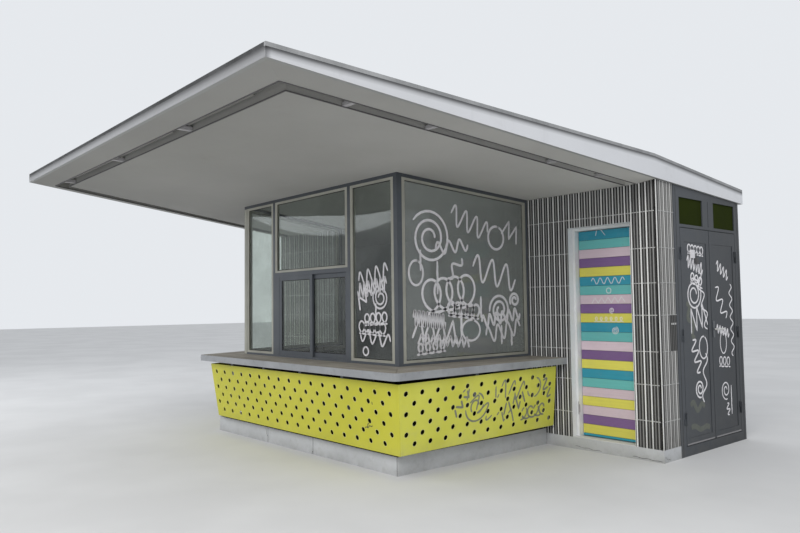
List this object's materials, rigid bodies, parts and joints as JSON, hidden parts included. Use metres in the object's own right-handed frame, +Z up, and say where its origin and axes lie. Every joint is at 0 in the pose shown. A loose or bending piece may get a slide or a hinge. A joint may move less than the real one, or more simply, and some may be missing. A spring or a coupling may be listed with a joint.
{
  "type": "street kiosk",
  "caption": "Street kiosk: glazed sales room with a hatch and ledge, ribbed tile block behind, and a cantilevered flat roof.",
  "frame": {"origin": "on the ground, straight below the outer corner of the glazed sales room, where the hatch front meets the large window", "axes": "+X along the hatch front towards the striped door, +Y back into the building, +Z up"},
  "size_m": [7.4429, 5.975, 2.934],
  "materials": {
    "render": "matt wall render",
    "white_paint": "white paint",
    "striped_boards": "painted boards in stripes of teal, pink, purple and yellow",
    "fascia_paint": "off-white paint with grime",
    "concrete": "smooth concrete floor",
    "slate_steel": "slate grey paint on steel",
    "glass": "clear window glass",
    "ledge_timber": "weathered boards",
    "zinc": "grey metal edging",
    "yellow_sheet": "lemon yellow paint on perforated sheet",
    "plinth_concrete": "pale painted concrete",
    "soffit_paint": "warm grey painted soffit",
    "roofing": "dark roofing felt",
    "handle_steel": "worn steel",
    "olive_panel": "olive paint",
    "light_metal": "dull light fitting",
    "ribbed_tile": "glazed ribbed tiles, pale ribs and dark gaps",
    "sash_paint": "beige grey paint on window sashes"
  },
  "bodies": {
    "kiosk": {"apron_walls": "render", "door_frame": "white_paint", "fascia_back": "fascia_paint", "fascia_front": "fascia_paint", "fascia_left": "fascia_paint", "fascia_right": "fascia_paint", "floor_slab": "concrete", "hatch_frame": "slate_steel", "hatch_glass": "glass", "hatch_sashes": "slate_steel", "hatch_transom": "slate_steel", "ledge_boards": "ledge_timber", "ledge_brackets": "slate_steel", "ledge_metal_edge": "zinc", "perforated_sheet_front": "yellow_sheet", "perforated_sheet_left": "yellow_sheet", "perforated_sheet_right": "yellow_sheet", "plinth_block": "plinth_concrete", "plinth_sales_room": "plinth_concrete", "roof_core": "soffit_paint", "roof_covering": "roofing", "soffit_board": "soffit_paint", "steel_frame": "slate_steel", "steel_upper_panes": "olive_panel", "strip_lights": "light_metal", "tiles_back": "ribbed_tile", "tiles_beside_door": "ribbed_tile", "tiles_left_end": "ribbed_tile", "tiles_over_door": "ribbed_tile", "tiles_wing": "ribbed_tile", "wall_back": "render", "wall_beside_door": "render", "wall_left_end": "render", "wall_over_door": "render", "wall_wing": "render", "window_glass": "glass", "window_head_rails": "slate_steel", "window_posts": "slate_steel", "window_sashes": "sash_paint", "window_sill_rails": "slate_steel"},
    "door_leaf": {"door_leaf": "striped_boards"},
    "steel_leaf_front": {"steel_leaf_front": "slate_steel"},
    "steel_leaf_rear": {"steel_leaf_rear": "slate_steel", "steel_handle": "handle_steel"}
  },
  "joints": [
    {"name": "striped_door_hinge", "type": "hinge", "parent": "kiosk", "child": "door_leaf", "pos_m": [1.2045, 2.073, 1.2], "axis": [0, 0, -1], "range_deg": [0, 95]},
    {"name": "steel_front_hinge", "type": "hinge", "parent": "kiosk", "child": "steel_leaf_front", "pos_m": [1.528, 2.313, 1.14], "axis": [0, 0, -1], "range_deg": [0, 100]},
    {"name": "steel_rear_hinge", "type": "hinge", "parent": "kiosk", "child": "steel_leaf_rear", "pos_m": [1.528, 3.502, 1.14], "axis": [0, 0, 1], "range_deg": [0, 100]}
  ]
}
